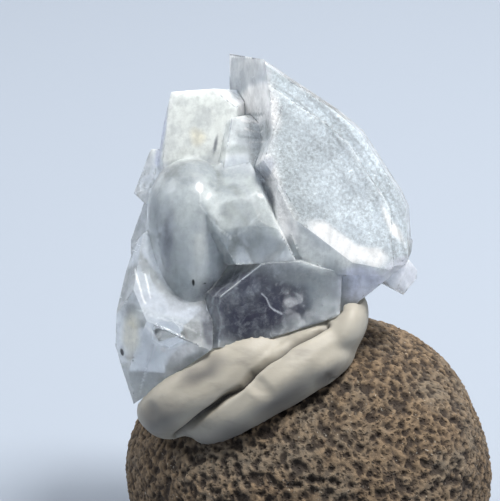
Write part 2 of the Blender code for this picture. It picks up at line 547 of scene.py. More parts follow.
@dataclass(frozen=True)
class Trail:
    """A thin curved line on the specimen's front.

    Attributes:
        points: Where it runs, as (u, v).
        width: Half its width.
        stray: How far it wanders.
        back: The depth behind which it doesn't show.
    """

    points: tuple[tuple[float, float], ...]
    width: float
    stray: float = 0.2
    back: float = -3.0

    def distance(self, skin: Skin) -> tuple[np.ndarray, np.ndarray]:
        """How far each point lies from the line.

        Args:
            skin: The surface's points.

        Returns:
            The distance, and a number that is positive to the line's left.
        """
        u = skin.u + skin.stray_u * self.stray
        v = skin.v + skin.stray_v * self.stray
        nearest = np.full(u.shape, 1e9)
        side = np.zeros(u.shape)
        for (u0, v0), (u1, v1) in zip(self.points, self.points[1:]):
            du, dv = u1 - u0, v1 - v0
            share = np.clip(((u - u0) * du + (v - v0) * dv) / (du * du + dv * dv), 0, 1)
            gap = np.hypot(u - u0 - share * du, v - v0 - share * dv)
            closer = gap < nearest
            side = np.where(closer, du * (v - v0) - dv * (u - u0), side)
            nearest = np.where(closer, gap, nearest)
        return nearest, side

    def mask(self, skin: Skin) -> np.ndarray:
        """1 on the line and 0 away from it.

        Args:
            skin: The surface's points.

        Returns:
            The mask.
        """
        nearest, _ = self.distance(skin)
        return (1 - smooth_rise(nearest, self.width * 0.4, self.width * 1.6)) * skin.ahead(self.back)


@dataclass(frozen=True)
class Mark:
    """A natural mark in the crystals: a cloud, a stain, a veil or a healed crack.

    Attributes:
        shape: Where it lies.
        colour: Its colour.
        haze: How milky it is, from 0 to 1.
        strength: How strongly it shows.
    """

    shape: Patch | Trail
    colour: Colour
    haze: float
    strength: float = 1.0


SNOW = (1.0, 1.0, 1.0)
WHITE = (0.93, 0.95, 0.97)
PALE = (0.70, 0.74, 0.76)
CREAM = (0.78, 0.75, 0.62)
LAVENDER = (0.42, 0.46, 0.56)
GREY = (0.41, 0.45, 0.46)
SLATE = (0.13, 0.14, 0.17)
# The next colour darkens the dark crystal, partly as painted shade.
SMOKY_SHADE = (0.045, 0.045, 0.075)
INK = (0.01, 0.01, 0.012)
MILK = (0.80, 0.84, 0.86)
CHALK = (0.90, 0.93, 0.92)
VIOLET = (0.62, 0.66, 0.84)
THREAD = (0.72, 0.76, 0.76)
DUSK = (0.42, 0.45, 0.48)
DIM = (0.36, 0.38, 0.42)
# The next colour is the painted highlight's near-white.
PAINTED_GLINT = (0.97, 0.98, 0.98)
FROST_LEFT = (0.60, 0.655, 0.68)
FROST_RIGHT = (0.72, 0.79, 0.84)

MARKS = (
    # The tall crystal
    Mark(Patch(-0.84, 32.2, 2.5, 1.9, -5, 0.25, 0.1, 6.0), (0.94, 0.97, 1.0), 0.42),
    Mark(Patch(0.1, 27.0, 2.6, 3.6, 0, 0.3, 0.4, 8.0), SNOW, 0.97),
    Mark(Patch(-0.1, 30.0, 1.8, 0.9, 15, 0.6, 0.3, 8.0), SNOW, 0.95),
    Mark(Trail(((0.7, 24.5), (0.9, 22.5), (1.4, 19.0), (2.6, 15.6)), 1.5, 0.2, 2.0), MILK, 0.95, 0.9),
    Mark(Trail(((2.9, 15.4), (4.6, 12.6), (7.2, 10.4), (10.4, 9.4)), 1.5, 0.2, -1.0), CHALK, 0.97, 0.95),
    Mark(Trail(((0.2, 18.9), (2.4, 15.0), (4.8, 10.4)), 0.8, 0.3), (0.56, 0.60, 0.62), 0.9, 0.7),
    # Milky white and also painted light: it lifts the shade in the recess between the right lobe and the
    # tall crystal.
    Mark(Trail(((1.2, 21.6), (2.3, 18.0), (4.2, 13.0)), 0.9, 0.1, 9.0), SNOW, 0.98, 0.9),
    Mark(Patch(17.6, 8.3, 2.4, 2.2, 0, 0.2, 0.1, 6.0), (0.86, 0.87, 0.96), 0.5),
    Mark(Trail(((-3.2, 30.7), (-3.0, 34.9), (1.3, 33.9)), 0.13, 0.05, 8.0), WHITE, 0.9, 0.8),
    Mark(Patch(0.9, 20.6, 0.9, 1.8, -35, 0.2, 0.1), LAVENDER, 0.5, 0.5),
    Mark(Patch(12.2, 7.2, 3.6, 2.2, 0, 0.25, 0.2), (0.84, 0.86, 0.98), 0.92, 0.95),
    # The block at the upper left and the small ones beside it
    Mark(Patch(-7.35, 26.2, 5.8, 5.6, 0, 0.12, 0.1, 4.5), (0.72, 0.75, 0.73), 0.96),
    Mark(Trail(((-10.4, 30.2), (-10.9, 26.0), (-11.6, 21.6)), 0.3, 0.15, 5.0), VIOLET, 0.4, 0.8),
    Mark(Patch(-6.9, 24.8, 0.8, 0.8, 0, 0.6, 0.4, 1.0), CREAM, 0.9, 0.8),
    Mark(Patch(-4.7, 23.8, 0.22, 1.1, -10, 0.5, 0.1, 1.0), SLATE, 0.9, 0.8),
    Mark(Patch(-1.4, 24.6, 2.0, 2.6, 0, 0.3, 0.5, 1.0), (0.66, 0.70, 0.72), 0.85, 0.8),
    Mark(Patch(1.15, 25.3, 0.8, 1.1, 0, 0.4, 0.2, 1.0), GREY, 0.6, 0.6),
    Mark(Trail(((-1.6, 26.6), (0.4, 26.5)), 0.16, 0.3, 2.0), SNOW, 1.0, 0.9),
    Mark(Trail(((-1.2, 25.7), (0.9, 25.4)), 0.12, 0.3, 2.0), SNOW, 1.0, 0.8),
    Mark(Trail(((-2.1, 24.9), (0.3, 24.6)), 0.14, 0.4, 2.0), (0.36, 0.40, 0.41), 0.9, 0.7),
    Mark(Trail(((-0.6, 24.0), (1.0, 24.1)), 0.12, 0.3, 2.0), SNOW, 1.0, 0.8),
    Mark(Trail(((-1.9, 27.3), (0.9, 27.2)), 0.16, 0.3, 2.0), (0.40, 0.44, 0.45), 0.9, 0.7),
    Mark(Patch(-2.2, 23.2, 1.4, 0.7, 0, 0.5, 0.4, 1.0), (0.44, 0.48, 0.48), 0.85, 0.8),
    # The two rounded crystals
    Mark(Patch(-7.2, 13.6, 5.4, 8.8, 0, 0.12, 0.1), GREY, 0.84, 0.95),
    # Painted shade on the left lobe's top, where the key light catches it.
    Mark(Patch(-7.6, 20.4, 3.6, 1.5, 0, 0.6, 0.5), (0.20, 0.22, 0.23), 0.7, 0.7),
    Mark(Patch(-2.7, 19.3, 3.4, 1.8, 0, 0.4, 0.6), (0.34, 0.375, 0.38), 0.8, 0.85),
    Mark(Patch(-1.2, 14.9, 3.1, 3.4, 0, 0.4, 0.4), (0.37, 0.405, 0.41), 0.88, 0.95),
    Mark(Patch(0.8, 12.0, 3.5, 1.5, 0, 0.5, 0.7), (0.20, 0.23, 0.25), 0.8, 0.85),
    # Painted shadow: the dark streak inside the left lobe.
    Mark(Patch(-10.3, 12.0, 0.7, 3.8, -4, 0.7, 0.5), SLATE, 0.85, 0.9),
    Mark(Patch(-11.5, 15.5, 0.7, 3.5, 5, 0.6, 0.3), (0.20, 0.22, 0.24), 0.7, 0.6),
    Mark(Patch(-6.3, 10.6, 0.9, 4.2, -5, 0.7, 0.4), (0.58, 0.61, 0.60), 0.85, 0.7),
    Mark(Patch(-3.4, 11.6, 0.7, 2.4, 15, 0.7, 0.3), (0.24, 0.27, 0.28), 0.7, 0.6),
    Mark(Patch(-5.3, 16.9, 0.9, 3.4, 24, 0.5, 0.4), (0.56, 0.60, 0.60), 0.85, 0.7),
    Mark(Trail(((-6.6, 19.2), (-6.4, 16.6), (-5.2, 14.9), (-2.7, 12.6)), 0.09), THREAD, 0.9, 0.6),
    Mark(Trail(((-2.9, 12.6), (-1.2, 13.7), (0.4, 15.6)), 0.08, 0.3), (0.60, 0.64, 0.65), 0.9, 0.5),
    Mark(Patch(1.7, 17.8, 0.4, 1.0, 20, 0.5, 0.2), SLATE, 0.7, 0.7),
    # Painted shade on the right lobe's rim, where the key light catches it.
    Mark(Trail(((-0.5, 19.4), (0.3, 17.9), (2.3, 13.4)), 0.5, 0.2), (0.42, 0.46, 0.46), 0.9, 0.85),
    Mark(Patch(0.7, 17.8, 0.3, 0.3, 0, 0.6, 0.3), WHITE, 1.0, 0.8),
    # The dark crystal: partly a smoky tint, partly painted shade for the shade seen through its base
    Mark(Patch(1.6, 5.0, 7.6, 5.2, 0, 0.2, 0.5), (0.13, 0.145, 0.17), 0.97),
    Mark(Patch(0.6, 5.0, 5.2, 3.4, -5, 0.7, 1.6), (0.055, 0.055, 0.09), 1.0, 0.95),
    Mark(Patch(-1.4, 3.0, 3.2, 2.2, 0, 0.7, 1.6), SMOKY_SHADE, 1.0, 0.7),
    Mark(Patch(8.2, 6.9, 2.4, 3.4, 0, 0.6, 0.9), (0.30, 0.34, 0.37), 0.9, 0.9),
    Mark(Patch(5.0, 8.4, 4.2, 1.0, -8, 0.8, 1.0), (0.28, 0.31, 0.33), 0.95, 0.7),
    Mark(Patch(3.5, 1.6, 3.4, 0.9, 20, 0.7, 0.9), (0.27, 0.30, 0.33), 0.9, 0.7),
    Mark(Patch(-5.1, 2.6, 1.3, 2.8, 3, 0.3, 0.3), SLATE, 0.85, 0.95),
    Mark(Trail(((0.5, 6.6), (1.2, 6.0), (2.0, 4.9), (3.1, 4.1)), 0.10, 0.6), (0.7, 0.73, 0.78), 1.0, 0.9),
    Mark(Trail(((-1.8, 10.0), (-2.9, 7.6), (-4.7, 5.6), (-5.6, 3.4)), 0.09, 0.5), DUSK, 0.9, 0.6),
    Mark(Trail(((-0.9, 9.4), (-2.6, 7.0), (-4.3, 4.9), (-4.3, 0.9)), 0.09, 0.5), DIM, 0.9, 0.5),
    # The pointed crystal at the lower left
    Mark(Patch(-12.3, 8.8, 1.9, 2.8, 0, 0.5, 0.4), PALE, 0.35, 0.7),
    Mark(Patch(-10.5, 5.0, 4.7, 1.2, -16, 0.3, 0.15), (0.58, 0.62, 0.68), 0.75, 0.9),
    Mark(Patch(-10.2, 1.6, 2.0, 1.6, -20, 0.3, 0.2), PALE, 0.04),
    Mark(Patch(-14.6, 1.4, 1.2, 2.6, 0, 0.4, 0.3, 0.0), CREAM, 0.8, 0.85),
    Mark(Patch(-12.3, -2.7, 1.4, 2.5, 20, 0.5, 0.4, 0.0), (0.55, 0.60, 0.68), 0.4, 0.8),
    # Painted glints: white sparkles on the pointed crystal.
    Mark(Patch(-8.4, -0.6, 2.2, 0.9, 30, 0.5, 0.6), SNOW, 0.97, 0.85),
    Mark(Patch(-10.9, -0.4, 0.6, 0.5, 0, 0.5, 0.4), SNOW, 1.0, 0.8),
    Mark(Patch(-12.6, 0.4, 0.7, 2.6, 12, 0.5, 0.3), SLATE, 0.45, 0.5),
    Mark(Trail(((-14.3, 4.6), (-11.6, 3.6), (-8.6, 2.7), (-6.4, 1.4)), 0.07, 0.2), WHITE, 0.9, 0.35),
    Mark(Trail(((-13.9, -6.4), (-13.0, -3.0), (-11.8, 0.6)), 0.08, 0.1), WHITE, 1.0, 0.7),
    Mark(Trail(((-14.1, 9.1), (-13.6, 7.4), (-12.9, 5.2)), 0.12, 0.1), WHITE, 1.0, 0.9),
    Mark(Trail(((-12.9, 8.6), (-12.5, 7.0), (-12.2, 5.8)), 0.1, 0.1), WHITE, 1.0, 0.7),
    # Two dark specks
    Mark(Patch(-7.2, 7.6, 0.17, 0.38, 5, 0.3, 0.05), INK, 1.0),
    Mark(Patch(-15.75, -0.7, 0.24, 0.5, 15, 0.3, 0.05, 2.0), INK, 1.0),
)
# Painted highlights: patches of near-white on the frosted face, where the light glares.
PAINTED_GLARE = (
    Patch(9.4, 12.2, 3.9, 1.3, -38, 0.25, 0.5),
    Patch(13.0, 10.6, 2.6, 1.1, -14, 0.35, 0.7),
    Patch(16.2, 14.2, 2.2, 0.5, -58, 0.5, 0.5),
)
# Where the smoky tint lies, partly painted shade: mostly the dark crystal, more weakly two places in the
# lobes.
SMOKE_AND_SHADE_PATCHES = (
    Patch(1.2, 5.0, 8.2, 5.6, 0, 0.2, 0.5),
    Patch(0.8, 11.8, 3.6, 1.7, 0, 0.5, 0.7, share=0.45),
    Patch(-9.6, 12.0, 1.4, 4.4, -4, 0.7, 0.7, share=0.4),
)
LOBES = (
    Patch(-7.6, 14.6, 4.8, 7.6, 0, 0.2, 0.0),
    Patch(-1.4, 16.4, 3.6, 4.6, 15, 0.2, 0.0, share=0.6),
)
FROSTED_POLE = (10, 3)
FROSTED_FLANK = Trail(((0.7, 26.5), (0.9, 22.5), (1.4, 19.0), (2.6, 15.6)), 1.5, 0.2, 2.0)
GROWTH_CENTRE = (-15.1, 3.1)
GROWTH_RADII = (29.5, 31.5)


@dataclass(frozen=True)
class CrystalFinish:
    """Clear to milky apophyllite, frosted on its large front face and darkened low in the middle by a smoky
    tint that is partly painted shade.
    """

    name: str = "apophyllite"
    refraction: float = 1.537
    clear_colour: Colour = (0.97, 0.98, 0.99)
    absorb_colour: Colour = (0.80, 0.87, 0.92)
    absorb_density: float = 12.0
    wisp_colour: Colour = (0.34, 0.37, 0.40)
    glow_reach: float = 3.0

    def make(self) -> bpy.types.Material:
        """Builds the material.

        Returns:
            The material.
        """
        material, graph = new_material(self.name)
        point = graph.place()
        # The smoky zone read here is partly painted shade.
        haze, frost, streak, smoke_and_shade = map(graph.stored, ("haze", "frost", "streak", "smoke_and_shade"))
        bent = graph.bent(point, 2.5, 1.2)
        cloud = graph.noise(point, 2.0, 5.0, 0.62)
        fine = graph.noise(point, 0.45, 4.0, 0.65)
        grain = graph.noise(point, 0.2, 2.0, 0.6)
        crumb = graph.noise(graph.turned(point, (1, 1, 1), 0.013), 0.36, 5.0, 0.75)
        ripple = graph.noise(graph.turned(point, (1.0, 1.0, 0.12)), 0.5, 3.0)
        broad = graph.noise(point, 4.5, 3.0)
        mottle = cloud.rise(0.3, 0.72)

        tone = 0.82 + 0.2 * mottle + 0.2 * (fine - 0.5) + 0.4 * (ripple - 0.5)
        tone = tone * (1 - frost) + frost * self._sugary(graph, point, grain, crumb, broad)
        tone = tone * (1 - 0.24 * streak)
        shade = graph.node("ShaderNodeCombineColor", None, {0: tone, 1: tone, 2: tone})
        colour = graph.blend(1.0, graph.stored("tint", "Color"), shade, "MULTIPLY")
        wisp = graph.noise(bent, 1.1, 8.0, 0.78).rise(0.44, 0.70)
        colour = graph.blend(smoke_and_shade * wisp * 0.62, colour, self.wisp_colour)

        rough = 0.03 + 0.08 * mottle + 0.32 * frost
        height = 0.4 * cloud + 0.2 * fine + frost * (0.5 * grain + 0.9 * crumb)
        bump = graph.bump(height + streak * 0.6 + ripple * 0.2, 0.06, 0.7)
        crack = graph.cells(bent, 3.4, "DISTANCE_TO_EDGE").rise(0.018, 0.0) * broad.rise(0.5, 0.62)
        crack = crack * (1 - frost) * (1 - smoke_and_shade) * 0.7
        share = (haze * (0.82 + 0.36 * mottle)).most(crack).least(1.0)
        clear = graph.principled(
            Base_Color=(*self.clear_colour, 1.0),
            Roughness=rough.least(0.45),
            IOR=self.refraction,
            Transmission_Weight=1.0,
            Normal=bump,
        )
        milky = self._milky(graph, colour, (rough + 0.34).least(0.6), bump)
        absorb = graph.node(
            "ShaderNodeVolumeAbsorption",
            None,
            {"Color": (*self.absorb_colour, 1.0), "Density": self.absorb_density},
        )
        graph.end(graph.node("ShaderNodeMixShader", None, {0: share, 1: clear, 2: milky}), absorb)
        return material

    @staticmethod
    def _sugary(graph: Graph, point: Wire, grain: Wire, crumb: Wire, broad: Wire) -> Wire:
        """How light the frosted face's sugary crust is, with painted glints among its grains.

        Args:
            graph: The material's graph.
            point: The point on the surface.
            grain: The finest noise.
            crumb: Fine noise with strong layers.
            broad: The coarsest noise.

        Returns:
            The lightness, about 1.
        """
        crust = graph.cells(point, 0.34).rise(0.3, 0.05)
        # Painted glints: small bright specks on the crust.
        painted_glints = graph.cells(point, 0.75).rise(0.16, 0.06) * crumb.rise(0.45, 0.6)
        light = 0.6 + 0.42 * crumb.rise(0.34, 0.68) + 0.3 * (grain - 0.5) + 0.2 * crust
        return light + 0.6 * (broad - 0.5) + 0.5 * painted_glints

    def _milky(self, graph: Graph, colour: Wire, rough: Wire, bump: Wire) -> Wire:
        """The cloudy crystal's shader, in which light spreads a little way.

        Args:
            graph: The material's graph.
            colour: Its colour.
            rough: Its roughness.
            bump: Its surface direction.

        Returns:
            The shader.
        """
        return graph.principled(
            Base_Color=colour,
            Roughness=rough,
            IOR=self.refraction,
            Specular_IOR_Level=0.25,
            Subsurface_Weight=0.75,
            Subsurface_Radius=(1.0, 1.0, 1.0),
            Subsurface_Scale=self.glow_reach * MM,
            Normal=bump,
        )


@dataclass(frozen=True)
class PuttyFinish:
    """Kneaded off-white putty with faint grey smears, and painted shade along its crease and in patches low
    on its rolls.
    """

    name: str = "putty"
    colour: Colour = (0.40, 0.37, 0.31)
    # The smear colour also serves as painted shade, in patches low on the rolls.
    smear_and_shade: Colour = (0.13, 0.125, 0.12)
    pale: Colour = (0.52, 0.49, 0.42)
    # The crease colour is painted shade, laid along the crease's line.
    crease: Colour = (0.022, 0.018, 0.015)

    def make(self) -> bpy.types.Material:
        """Builds the material.

        Returns:
            The material.
        """
        material, graph = new_material(self.name)
        point = graph.place()
        crease_shade = graph.stored("crease_shade")
        broad = graph.noise(point, 6.0, 3.0)
        smears = graph.noise(graph.turned(point, (0.5, 1.0, 1.7), 0.01, 35), 2.6, 4.0)
        fine = graph.noise(point, 0.4, 4.0, 0.6)
        colour = graph.blend(smears.rise(0.5, 0.78) * 0.45, self.colour, self.smear_and_shade)
        colour = graph.blend(broad.rise(0.45, 0.7) * 0.5, colour, self.pale)
        # Painted shade along the crease.
        colour = graph.blend(crease_shade, colour, self.crease)
        # Painted shade in patches, in the smear colour.
        colour = graph.blend(graph.stored("painted_shade") * 0.85, colour, self.smear_and_shade)
        surface = graph.principled(
            Base_Color=colour,
            Roughness=0.4 + 0.25 * broad,
            IOR=1.48,
            Subsurface_Weight=0.12,
            Subsurface_Radius=(1.0, 0.8, 0.6),
            Subsurface_Scale=0.8 * MM,
            Normal=graph.bump(fine * 0.35 + smears, 0.08, 0.6),
        )
        graph.end(surface)
        return material


@dataclass(frozen=True)
class LavaFinish:
    """Brown vesicular lava with pale and glittering mineral grains, and painted shade in its pits."""

    name: str = "lava"
    ridge: Colour = (0.235, 0.165, 0.10)
    body: Colour = (0.07, 0.047, 0.03)
    rust: Colour = (0.20, 0.11, 0.055)
    # The hollow colour is painted shade in the pits.
    pit_shade: Colour = (0.018, 0.012, 0.010)
    grey: Colour = (0.19, 0.165, 0.13)
    grain: Colour = (0.55, 0.52, 0.44)

    def make(self) -> bpy.types.Material:
        """Builds the material.

        Returns:
            The material.
        """
        material, graph = new_material(self.name)
        point = graph.place()
        broad = graph.noise(point, 7.0, 4.0)
        medium = graph.noise(graph.turned(point, (1, 1, 1), 0.02), 0.9, 5.0, 0.7)
        grit = graph.noise(point, 0.3, 4.0, 0.75)
        depth = graph.stored("pit")
        ridge = graph.stored("ridge")
        height = (ridge * 0.7 + medium * 0.5 - 0.1).least(1.0)
        colour = graph.ramp(height, (0.15, self.body), (0.75, self.ridge))
        colour = graph.blend(broad.rise(0.42, 0.68) * 0.5, colour, self.grey)
        colour = graph.blend(medium.rise(0.55, 0.75) * 0.4, colour, self.rust)
        # Painted shade, darker deeper in the pits.
        colour = graph.blend(depth.rise(0.05, 0.85) * 0.85, colour, self.pit_shade)
        bent = graph.bent(point, 0.7, 0.35)
        fleck = graph.noise(bent, 0.34, 2.0, 0.5).rise(0.66, 0.74)
        fleck = fleck * graph.noise(point, 2.2, 2.0).rise(0.45, 0.6)
        colour = graph.blend(fleck * 0.55, colour, self.grain)
        cells = graph.cells(bent, 0.55).rise(0.1, 0.5)
        # Painted shade in fine pits too small for the mesh.
        colour = graph.blend((1 - cells) * 0.55, colour, self.pit_shade)
        surface = graph.principled(
            Base_Color=colour,
            Roughness=0.9 - fleck * 0.5,
            Normal=graph.bump(medium * 0.7 + grit * 0.5 + cells * 0.8, 0.24, 1.0),
        )
        graph.end(surface)
        return material


def add_object(name: str, mesh: bpy.types.Mesh) -> bpy.types.Object:
    """Adds a mesh object to the scene.

    Args:
        name: The object's name.
        mesh: Its mesh.

    Returns:
        The object.
    """
    made = bpy.data.objects.new(name, mesh)
    bpy.context.scene.collection.objects.link(made)
    return made


def apply_modifiers(piece: bpy.types.Object) -> None:
    """Turns a piece's modifiers into its mesh.

    Args:
        piece: The piece.
    """
    seen = piece.evaluated_get(bpy.context.evaluated_depsgraph_get())
    piece.data = bpy.data.meshes.new_from_object(seen)
    piece.modifiers.clear()


def store(mesh: bpy.types.Mesh, name: str, values: np.ndarray) -> None:
    """Stores a number or a colour at each vertex.

    Args:
        mesh: The mesh.
        name: The attribute's name.
        values: One number or one row of three a vertex.
    """
    if values.ndim == 1:
        mesh.attributes.new(name, "FLOAT", "POINT").data.foreach_set("value", values.astype(np.float32))
        return
    padded = np.c_[values, np.ones(len(values))].astype(np.float32)
    mesh.attributes.new(name, "FLOAT_COLOR", "POINT").data.foreach_set("color", padded.ravel())


def move_points(mesh: bpy.types.Mesh, skin: Skin, outward: np.ndarray) -> None:
    """Moves each vertex along its normal.

    Args:
        mesh: The mesh.
        skin: Its points' normals.
        outward: How far each moves.
    """
    points = np.empty(len(mesh.vertices) * 3)
    mesh.vertices.foreach_get("co", points)
    moved = points.reshape(-1, 3) + skin.normals * outward[:, None] * MM
    mesh.vertices.foreach_set("co", moved.ravel())
    mesh.update()


def settle(piece: bpy.types.Object, material: bpy.types.Material, node: str) -> None:
    """Dresses a piece and lets it stand for a node.

    Args:
        piece: The piece.
        material: Its material.
        node: The node that it replaces.
    """
    piece.data.materials.clear()
    piece.data.materials.append(material)
    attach(piece, ROOT)
    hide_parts(node)


@dataclass(frozen=True)
class Egg:
    """A rounded form whose lower half is longer.

    Attributes:
        centre: Its centre, as (u, w, v).
        half_sizes: Half its size along each of them.
        drop: How far it reaches down.
    """

    centre: tuple[float, float, float]
    half_sizes: tuple[float, float, float]
    drop: float


@dataclass
class Cluster:
    """The intergrown crystals.

    Attributes:
        node: The frame's node.
        step: The largest step in a face that is closed up.
        edge: How far the sharp edges are worn.
        front_step: The longest mesh edge on the front.
        back_step: The longest mesh edge elsewhere.
        detail_step: The longest mesh edge at the smallest marks.
        details: Where those marks lie, each as (u, v, reach).
        wave: How far the faces wander from flat.
        egg: The left lobe's form.
        body_tint: The crystals' colour where nothing marks them.
        body_haze: How milky they are there.
        frost_haze: How milky the frosted face is.
        finish: The material.
    """

    node: str = "crystal_cluster"
    step: float = 0.035
    edge: float = 0.09
    front_step: float = 0.37
    back_step: float = 0.9
    detail_step: float = 0.17
    details: tuple[tuple[float, float, float], ...] = (
        (-7.2, 7.6, 0.6),
        (-15.75, -0.7, 0.7),
        (1.8, 5.3, 2.0),
        (-13.2, 7.3, 2.0),
        (-0.4, 25.4, 2.0),
    )
    wave: float = 0.035
    egg: Egg = Egg((-7.5, -3.0, 16.0), (5.3, 6.6, 6.4), 12.6)
    body_tint: Colour = (0.78, 0.82, 0.84)
    body_haze: float = 0.32
    frost_haze: float = 0.93
    finish: CrystalFinish = field(default_factory=CrystalFinish)

    def build(self, nodes: Mapping[str, bpy.types.Object]) -> bpy.types.Object:
        """Makes the crystals' mesh from the frame's solid.

        Args:
            nodes: The frame's nodes.

        Returns:
            The piece.
        """
        shape = bmesh.new()
        shape.from_mesh(nodes[self.node].data)
        bmesh.ops.remove_doubles(shape, verts=shape.verts[:], dist=self.step * MM)
        flat = math.radians(0.6)
        bmesh.ops.dissolve_limit(shape, angle_limit=flat, verts=shape.verts[:], edges=shape.edges[:])
        mesh = bpy.data.meshes.new("crystals")
        shape.to_mesh(mesh)
        shape.free()
        piece = add_object("crystals", mesh)
        worn = piece.modifiers.new("worn_edges", "BEVEL")
        worn.width = self.edge * MM
        worn.segments = 2
        worn.limit_method = "ANGLE"
        worn.angle_limit = math.radians(12)
        apply_modifiers(piece)
        self._refine(piece.data)
        self._soften(piece)
        self._mark(piece.data)
        return piece

    def _refine(self, mesh: bpy.types.Mesh) -> None:
        """Splits long edges, more finely on the front.

        Args:
            mesh: The mesh.
        """
        shape = bmesh.new()
        shape.from_mesh(mesh)
        for _ in range(9):
            bmesh.ops.triangulate(shape, faces=shape.faces[:])
            long_edges = [edge for edge in shape.edges if edge.calc_length() > self._step(edge) * MM]
            if not long_edges:
                break
            bmesh.ops.subdivide_edges(shape, edges=long_edges, cuts=1)
        bmesh.ops.triangulate(shape, faces=shape.faces[:])
        shape.to_mesh(mesh)
        shape.free()
        mesh.shade_smooth()

    def _step(self, edge: bmesh.types.BMEdge) -> float:
        """How long an edge may be where it lies.

        Args:
            edge: The edge.

        Returns:
            The length in millimetres.
        """
        middle = (edge.verts[0].co + edge.verts[1].co) / (2 * MM) - Vector(SPECIMEN_PLACE)
        if edge.link_faces[0].normal.dot(AWAY) > -0.04 or middle.dot(AWAY) > 4:
            return self.back_step
        u, v = middle.dot(RIGHT), middle.dot(UP_LEAN)
        fine = any(math.hypot(u - near_u, v - near_v) < reach for near_u, near_v, reach in self.details)
        return self.detail_step if fine else self.front_step

    def _soften(self, piece: bpy.types.Object) -> None:
        """Rounds the two lobes and gives every face a slight waviness.

        Args:
            piece: The crystals.
        """
        self._round_off(piece.data)
        skin = Skin.of(piece.data)
        group = piece.vertex_groups.new(name="rounded")
        for index, weight in enumerate(strongest(LOBES, skin)):
            if weight > 0.01:
                group.add((index,), float(weight), "REPLACE")
        soft = piece.modifiers.new("rounding", "SMOOTH")
        soft.factor = 0.9
        soft.iterations = 60
        soft.vertex_group = group.name
        apply_modifiers(piece)
        skin = Skin.of(piece.data, 3.0)
        move_points(piece.data, skin, self.wave * (skin.stray_u + 0.5 * skin.stray_v))

    def _round_off(self, mesh: bpy.types.Mesh) -> None:
        """Draws the left lobe's facets in to the egg that they touch.

        Args:
            mesh: The crystals' mesh.
        """
        skin = Skin.of(mesh)
        away = np.stack((skin.u, skin.w, skin.v), axis=1) - np.array(self.egg.centre)
        reach = np.tile(np.array(self.egg.half_sizes), (len(away), 1))
        reach[away[:, 2] < 0, 2] = self.egg.drop
        fullness = np.linalg.norm(away / reach, axis=1)
        share = (1 - smooth_rise(fullness, 1.07, 1.14)) * (fullness > 1) * (away[:, 1] < 0.5)
        shift = away * (share * (1 / np.maximum(fullness, 1) - 1))[:, None]
        to_row = np.array((RIGHT, AWAY, UP_LEAN))
        points = np.empty(len(mesh.vertices) * 3)
        mesh.vertices.foreach_get("co", points)
        mesh.vertices.foreach_set("co", (points.reshape(-1, 3) + shift @ to_row * MM).ravel())
        mesh.update()

    def _mark(self, mesh: bpy.types.Mesh) -> None:
        """Stores the crystals' tint, haze, frost, smoky zone and growth streaks; the tint holds painted
        highlights and painted shade, and the smoky zone is partly painted shade.

        Args:
            mesh: The mesh.
        """
        skin = Skin.of(mesh)
        count = len(skin.u)
        tint = np.tile(np.array(self.body_tint), (count, 1))
        haze = np.full(count, self.body_haze)
        frosted = self._frosted(skin)
        rightward = smooth_rise(skin.u + 0.3 * skin.v, 7.0, 17.0)
        self._lay(tint, haze, frosted, FROST_LEFT, self.frost_haze)
        self._lay(tint, haze, frosted * rightward, FROST_RIGHT, self.frost_haze)
        for mark in MARKS:
            self._lay(tint, haze, mark.shape.mask(skin) * mark.strength, mark.colour, mark.haze)
        # Painted highlight: near-white patches on the frosted face, which is left smoother there too.
        painted_glare = strongest(PAINTED_GLARE, skin) * frosted
        self._lay(tint, haze, painted_glare, PAINTED_GLINT, 1.0)
        store(mesh, "tint", tint)
        store(mesh, "haze", haze)
        # The smoky zone, partly painted shade.
        store(mesh, "smoke_and_shade", strongest(SMOKE_AND_SHADE_PATCHES, skin))
        store(mesh, "frost", np.maximum(frosted * (1 - 0.9 * painted_glare), 0.6 * FROSTED_FLANK.mask(skin)))
        store(mesh, "streak", frosted * self._growth_lines(skin))

    @staticmethod
    def _frosted(skin: Skin) -> np.ndarray:
        """1 on the tall crystal's frosted face.

        Args:
            skin: The crystals' points.

        Returns:
            The mask.
        """
        face = skin.facing(specimen_pole(*FROSTED_POLE), 0.97, 0.99) * skin.ahead(-2)
        return face * smooth_rise(skin.u, -1.5, -0.5) * smooth_rise(skin.u + skin.v * 0.1, 1.0, 2.0)

    @staticmethod
    def _growth_lines(skin: Skin) -> np.ndarray:
        """Fine lines along the frosted face's curved rim.

        Args:
            skin: The crystals' points.

        Returns:
            The mask.
        """
        u, v = GROWTH_CENTRE
        radius = np.hypot(skin.u - u, skin.v - v)
        places = zip(radius * 2.6, np.arctan2(skin.v, skin.u) * 1.2)
        lines = np.array([noise.noise(Vector((across, along, 3.0))) for across, along in places])
        return smooth_rise(radius, *GROWTH_RADII) * smooth_rise(lines, -0.1, 0.35)

    @staticmethod
    def _lay(tint: np.ndarray, haze: np.ndarray, share: np.ndarray, colour: Colour, milk: float) -> None:
        """Lays a colour and a haze over what is there.

        Args:
            tint: Each point's colour, changed in place.
            haze: Each point's haze, changed in place.
            share: How strongly each point takes it.
            colour: The colour.
            milk: The haze.
        """
        tint += share[:, None] * (np.array(colour) - tint)
        haze += share * (milk - haze)

    def dress(self, piece: bpy.types.Object) -> None:
        """Gives the crystals their finish.

        Args:
            piece: The crystals.
        """
        settle(piece, self.finish.make(), self.node)


